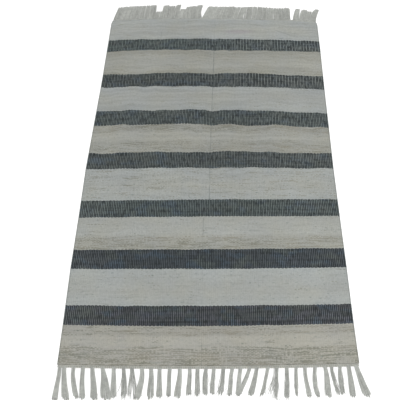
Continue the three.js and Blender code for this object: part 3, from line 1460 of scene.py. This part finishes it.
@dataclass(frozen=True)
class YarnLay:
    """How the yarns of a tassel lie: sizes in millimetres, the rest as shares and by the tassel's fray."""

    radius: float = 1.15
    fullness: float = 1.22
    fewest: int = 4
    fray_loss: float = 0.65
    fray_thinning: float = 0.45
    fray_cut: float = 0.1
    cut: tuple[float, float] = (0.93, 1.02)
    jitter: float = 0.06
    sway: float = 0.35
    fray_sway: float = 1.6
    sway_pace: tuple[float, float] = (4.0, 9.0)
    bow_jitter: float = 0.6
    belly: tuple[float, float] = (-0.12, 0.22)
    taper: float = 0.12
    tip: float = 0.97
    tip_radius: float = 0.75
    layers: int = 3
    layer_height: float = 1.15
    layer_settling: float = 0.75
    lift: float = 0.12
    lift_pace: float = 9.0
    tone: tuple[float, float] = (0.5, 0.22)
    tassel_tone: float = 0.12


@dataclass(frozen=True)
class ThreadLay:
    """How the loose threads of a tassel lie: sizes in millimetres, the rest as shares and by its fray."""

    radius: float = 0.35
    count: int = 5
    fray_count: int = 13
    out: float = 0.55
    fray_out: float = 0.75
    held: float = 0.8
    bend: float = 3.0
    fray_bend: float = 4.0
    start: tuple[float, float] = (0.0, 0.45)
    cut: tuple[float, float] = (0.75, 1.08)
    lift: float = 2.2
    tone: tuple[float, float] = (0.65, 0.2)


@dataclass(frozen=True)
class HeadingCord:
    """The two-ply cords of a heading, in millimetres, with the plies' offset and lift in radii."""

    radius: float = 1.25
    pitch: float = 13.0
    steps_per_turn: int = 9
    insets: tuple[float, float] = (1.9, 6.0)
    offset: float = 0.85
    lift: float = 1.9
    tone: tuple[float, float] = (0.45, 0.75)


@dataclass(frozen=True)
class Tubes:
    """A set of yarns: their paths and radii in millimetres, and a tone for each."""

    path: Array
    radius: Array
    tone: Array


@dataclass
class Fringe:
    """One end's heading and tassels, sizes in millimetres."""

    plan: RugPlan
    end: End
    tassels: tuple[Tassel, ...]
    root_width: float
    yarns: int
    seed: int
    tip_round: float = 0.02
    heading_share: float = 1.0
    steps: int = 12
    sides: int = 5
    lean_curve: float = 1.3
    root_depth: float = 4.0
    yarn: YarnLay = YarnLay()
    thread: ThreadLay = ThreadLay()
    cord: HeadingCord = HeadingCord()
    body: bpy.types.Object | None = field(default=None, init=False)
    tubes: list[Tubes] = field(default_factory=list, init=False)
    cord_tubes: int = field(default=0, init=False)

    def root_y(self, tassel: Tassel) -> float:
        """Where a tassel leaves its heading, along the rug in millimetres."""
        return float(self.plan.weft_y(np.array(tassel.root), self.plan.end_along(self.end)))

    def spin_tassel(self, tassel: Tassel, draw: np.random.Generator) -> None:
        """Lays the yarns of one tassel on the floor, side by side and a little over each other.

        Args:
            tassel: The tassel.
            draw: The source of the yarns' unevenness.
        """
        lay = self.yarn
        count = max(lay.fewest, round(self.yarns * (1 - lay.fray_loss * tassel.fray)))
        each = (count, 1)
        bed = np.linspace(-1, 1, count)[:, None]
        share = np.linspace(0, 1, self.steps + 1)[None, :]
        side = bed + draw.normal(0, lay.jitter, each)
        layer = draw.permutation(count)[:, None] % lay.layers
        cut = draw.uniform(*lay.cut, each) - lay.fray_cut * tassel.fray * draw.uniform(0, 1, each)
        go = share * (cut - self.tip_round * bed**2)
        sway = draw.uniform(0, 2 * math.pi, each)
        wave = np.sin(go * draw.uniform(*lay.sway_pace, each) + sway) - np.sin(sway)
        loose = (lay.sway + lay.fray_sway * tassel.fray) * go
        bow = (tassel.bow + draw.normal(0, lay.bow_jitter)) * np.sin(math.pi * go)
        bow = bow + draw.normal(0, lay.bow_jitter) * np.sin(2 * math.pi * go)
        width = lay.fullness * (self.root_width + (tassel.spread - self.root_width) * go)
        half = (width / 2 - lay.radius) * (1 + draw.uniform(*lay.belly) * np.sin(math.pi * go))
        x = tassel.root + tassel.lean * go**self.lean_curve + bow + side * half + wave * loose
        reach = go * (tassel.length + self.root_depth) - self.root_depth
        y = self.root_y(tassel) + self.end.value * reach
        radius = lay.radius * (1 - lay.fray_thinning * tassel.fray) * (1 - lay.taper * share)
        radius = np.broadcast_to(radius * np.where(share > lay.tip, lay.tip_radius, 1.0), go.shape)
        pile = layer * lay.radius * lay.layer_height * (1 - lay.layer_settling * go)
        z = radius + pile + lay.lift * (1 + np.sin(lay.lift_pace * go + sway))
        tone = np.clip(draw.normal(*lay.tone, count) + draw.normal(0, lay.tassel_tone), 0, 1)
        self.tubes.append(Tubes(np.stack([x, y, z], axis=2), radius, tone))

    def spin_threads(self, tassel: Tassel, draw: np.random.Generator) -> None:
        """Lays the thin loose threads that have come out of one tassel.

        Args:
            tassel: The tassel.
            draw: The source of the threads' unevenness.
        """
        lay = self.thread
        count = lay.count + round(lay.fray_count * tassel.fray)
        each = (count, 1)
        share = np.linspace(0, 1, self.steps + 1)[None, :]
        out = draw.normal(0, lay.out + lay.fray_out * tassel.fray, each)
        bend = draw.normal(0, lay.bend + lay.fray_bend * tassel.fray, each)
        start = draw.uniform(*lay.start, each)
        cut = draw.uniform(*lay.cut, each)
        go = start + (cut - start) * share
        free = (go - start) / (cut - start)
        width = self.root_width + (tassel.spread - self.root_width) * go
        inner = np.clip(out, -lay.held, lay.held)
        x = tassel.root + tassel.lean * go**self.lean_curve + width / 2 * (inner + (out - inner) * free)
        x = x + bend * free**2
        y = self.root_y(tassel) + self.end.value * go * tassel.length
        radius = np.full(go.shape, lay.radius)
        z = radius + lay.lift * (1 - free) ** 2
        tone = np.clip(draw.normal(*lay.tone, count), 0, 1)
        self.tubes.append(Tubes(np.stack([x, y, z], axis=2), radius, tone))

    def twine_heading(self, draw: np.random.Generator) -> None:
        """Lays the heading: rows of two-ply cord twined along the cloth's end, every other row turned back.

        Args:
            draw: The source of the plies' tones.
        """
        cord = self.cord
        end_along = self.plan.end_along(self.end)
        left = float(self.plan.column("left", np.array(end_along))) + 2 * cord.radius
        right = float(self.plan.column("right", np.array(end_along))) - 2 * cord.radius
        x = np.linspace(left, right, round((right - left) / cord.pitch * cord.steps_per_turn))
        angle = 2 * math.pi * (x - left) / cord.pitch
        for row, inset in enumerate(cord.insets):
            line = self.plan.weft_y(x, end_along - self.end.value * inset)
            for ply in (0.0, math.pi):
                turn = angle * (1 if row % 2 == 0 else -1) + ply
                y = line + cord.offset * cord.radius * np.cos(turn)
                z = cord.lift * cord.radius + cord.offset * cord.radius * np.sin(turn)
                radius = np.full((1, len(x)), cord.radius)
                path = np.stack([x, y, z], axis=1)[None]
                self.tubes.append(Tubes(path, radius, draw.uniform(*cord.tone, 1)))
                self.cord_tubes += 1

    def skin(self, tubes: Tubes) -> Array:
        """Wraps rings of points round a set of yarns.

        Args:
            tubes: The yarns.

        Returns:
            The points by yarn, step and place in the ring, in millimetres.
        """
        tangent = np.gradient(tubes.path, axis=1)
        tangent /= np.linalg.norm(tangent, axis=2, keepdims=True)
        flat = np.cross(tangent, np.array([0.0, 0.0, 1.0]))
        flat /= np.linalg.norm(flat, axis=2, keepdims=True)
        over = np.cross(flat, tangent)
        angle = 2 * math.pi * np.arange(self.sides)[:, None] / self.sides
        turned = np.cos(angle) * flat[:, :, None, :] + np.sin(angle) * over[:, :, None, :]
        return tubes.path[:, :, None, :] + tubes.radius[:, :, None, None] * turned

    def join_tubes(self) -> tuple[Array, Array, Array, Array, list[list[int]]]:
        """Joins all yarns into one set of mesh arrays.

        Returns:
            Points, quads, the quads' strand places, the points' tones and the end faces.
        """
        points, quads, strands, tones, caps = [], [], [], [], []
        base = 0
        ring = np.arange(self.sides)
        for tubes in self.tubes:
            count, steps, _ = tubes.path.shape
            points.append(self.skin(tubes).reshape(-1, 3))
            tones.append(np.repeat(tubes.tone, steps * self.sides))
            first = np.arange(count)[:, None] * steps + np.arange(steps - 1)[None, :]
            here = base + first[:, :, None] * self.sides + ring
            beside = base + first[:, :, None] * self.sides + (ring + 1) % self.sides
            faces = np.stack([here, beside, beside + self.sides, here + self.sides], axis=3)
            quads.append(faces.reshape(-1, 4))
            run = np.linalg.norm(np.diff(tubes.path, axis=1), axis=2).cumsum(axis=1)
            run = np.concatenate([np.zeros((count, 1)), run], axis=1) * MM
            low = np.broadcast_to(run[:, :-1, None], here.shape)
            high = np.broadcast_to(run[:, 1:, None], here.shape)
            left = np.broadcast_to(ring / self.sides, here.shape)
            right = np.broadcast_to((ring + 1) / self.sides, here.shape)
            pairs = ((left, low), (right, low), (right, high), (left, high))
            corners = [np.stack(pair, axis=3) for pair in pairs]
            strands.append(np.stack(corners, axis=3).reshape(-1, 4, 2))
            for start in base + np.arange(count) * steps * self.sides:
                last = start + (steps - 1) * self.sides
                caps.append([int(start + k) for k in ring[::-1]])
                caps.append([int(last + k) for k in ring])
            base += count * steps * self.sides
        return (np.concatenate(points), np.concatenate(quads), np.concatenate(strands),
                np.concatenate(tones), caps)

    def build(self, name: str) -> bpy.types.Object:
        """Makes the fringe as one joined mesh of yarns.

        Args:
            name: The piece's name.

        Returns:
            The fringe's object.
        """
        draw = np.random.default_rng(self.seed)
        for tassel in self.tassels:
            self.spin_tassel(tassel, draw)
            self.spin_threads(tassel, draw)
        self.twine_heading(draw)
        points, quads, strands, tones, caps = self.join_tubes()
        mesh = bpy.data.meshes.new(name)
        mesh.from_pydata((points * MM).tolist(), [], quads.tolist() + caps)
        layer = mesh.uv_layers.new(name="strand")
        places = np.zeros((len(mesh.loops), 2))
        places[: len(quads) * 4] = strands.reshape(-1, 2)
        layer.data.foreach_set("uv", places.ravel())
        tone = mesh.attributes.new("tone", "FLOAT", "POINT")
        tone.data.foreach_set("value", tones)
        cord_points = sum(tubes.path.shape[1] * self.sides for tubes in self.tubes[-self.cord_tubes:])
        heading = mesh.attributes.new("heading", "FLOAT", "POINT")
        cord = np.arange(len(points)) >= len(points) - cord_points
        heading.data.foreach_set("value", cord * self.heading_share)
        mesh.polygons.foreach_set("use_smooth", np.ones(len(mesh.polygons), dtype=bool))
        mesh.update()
        self.body = bpy.data.objects.new(name, mesh)
        bpy.context.scene.collection.objects.link(self.body)
        return self.body

    def dress(self, material: bpy.types.Material) -> None:
        """Gives the yarns their finish."""
        self.body.data.materials.append(material)


def far_tassels(plan: RugPlan) -> tuple[Tassel, ...]:
    """Spreads the far clumps' tassels evenly along the far end.

    Args:
        plan: The rug's outline.

    Returns:
        The far tassels from left to right.
    """
    line = plan.lines[-1]
    pitch = (line.right - line.left) / sum(clump.count for clump in FAR_CLUMPS)
    tassels = []
    for clump in FAR_CLUMPS:
        leans = np.linspace(clump.first_lean, clump.last_lean, clump.count)
        lengths = np.linspace(clump.first_length, clump.last_length, clump.count)
        for lean, length in zip(leans, lengths):
            root = line.left + pitch * (len(tassels) + 0.5) + clump.shift
            tassels.append(Tassel(root, lean, length, clump.spread, bow=clump.bow))
    return tuple(tassels)


@dataclass
class Studio:
    """The pale floor, the soft light and the camera."""

    floor_size: float = 14.0
    floor_drop: float = 0.0004
    floor_colour: Triple = (250, 250, 249)
    floor_rough: float = 0.9
    floor_specular: float = 0.1
    sky: float = 0.95
    lamp_power: float = 62.0
    lamp_size: float = 3.2
    lamp_place: Triple = (0.9, -0.6, 3.1)
    camera_place: Triple = (0.0309, -1.0846, 1.5834)
    yaw: float = -3.941
    pitch: float = 59.949
    roll: float = -2.98
    lens: float = 46.8
    sensor: float = 36.0

    def floor(self) -> bpy.types.Object:
        """Lays the floor.

        Returns:
            The floor's object.
        """
        bpy.ops.object.select_all(action="DESELECT")
        bpy.ops.mesh.primitive_plane_add(size=self.floor_size, location=(0.0, 0.0, -self.floor_drop))
        floor = bpy.context.object
        floor.name = "studio_floor"
        bpy.ops.object.transform_apply(location=True)
        material, _, shader = start_material("studio_floor")
        shader.inputs["Base Color"].default_value = linear(self.floor_colour)
        shader.inputs["Roughness"].default_value = self.floor_rough
        shader.inputs["Specular IOR Level"].default_value = self.floor_specular
        floor.data.materials.append(material)
        return floor

    def light(self) -> None:
        """Sets an even pale sky and one broad lamp overhead."""
        world = bpy.data.worlds.new("studio")
        world.use_nodes = True
        sky = world.node_tree.nodes["Background"]
        sky.inputs["Color"].default_value = grey(1.0)
        sky.inputs["Strength"].default_value = self.sky
        scene = bpy.context.scene
        scene.world = world
        lamp = bpy.data.lights.new("broad_lamp", "AREA")
        lamp.shape = "DISK"
        lamp.size = self.lamp_size
        lamp.energy = self.lamp_power
        holder = bpy.data.objects.new("broad_lamp", lamp)
        holder.location = self.lamp_place
        scene.collection.objects.link(holder)
        scene.view_settings.view_transform = "Standard"

    def camera(self) -> bpy.types.Object:
        """Sets the camera at the photograph's viewing angle.

        Returns:
            The camera's object.
        """
        yaw, pitch, roll = (math.radians(angle) for angle in (self.yaw, self.pitch, self.roll))
        level_share = math.cos(pitch)
        ahead = np.array([math.sin(yaw) * level_share, math.cos(yaw) * level_share, -math.sin(pitch)])
        level = np.array([math.cos(yaw), -math.sin(yaw), 0.0])
        upward = np.cross(level, ahead)
        right = math.cos(roll) * level + math.sin(roll) * upward
        top = -math.sin(roll) * level + math.cos(roll) * upward
        turn = Matrix(np.stack([right, top, -ahead], axis=1).tolist()).to_4x4()
        lens = bpy.data.cameras.new("camera")
        lens.lens = self.lens
        lens.sensor_width = self.sensor
        camera = bpy.data.objects.new("camera", lens)
        camera.matrix_world = Matrix.Translation(self.camera_place) @ turn
        scene = bpy.context.scene
        scene.collection.objects.link(camera)
        scene.camera = camera
        return camera


def main() -> None:
    """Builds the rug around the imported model, piece by piece."""
    logging.basicConfig(level=logging.INFO)
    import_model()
    studio = Studio()
    studio.camera()
    studio.light()
    studio.floor()
    plan = RugPlan()
    groups = {
        "fibre": WeaveGroups.fibre(),
        "lattice": WeaveGroups.lattice(),
        "streaks": WeaveGroups.streaks(),
        "soft_mark": WeaveGroups.soft_mark(),
    }

    cloth = WovenCloth(plan)
    cloth.build()
    cloth.dress(groups)
    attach(cloth.body, "root")
    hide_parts("woven_cloth")
    LOG.info("woven cloth: %d faces", len(cloth.body.data.polygons))

    yarn = FringeFinish().material(groups)
    near = Fringe(plan, End.NEAR, NEAR_TASSELS, root_width=8.6, yarns=19, seed=7, tip_round=0.045)
    far = Fringe(plan, End.FAR, far_tassels(plan), root_width=21.5, yarns=25, seed=19, heading_share=0.0)
    for fringe, name in ((near, "near_fringe"), (far, "far_fringe")):
        fringe.build(f"rug_{name}")
        fringe.dress(yarn)
        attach(fringe.body, "root")
        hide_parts(name)
        LOG.info("%s: %d faces", name, len(fringe.body.data.polygons))


if __name__ == "__main__":
    main()
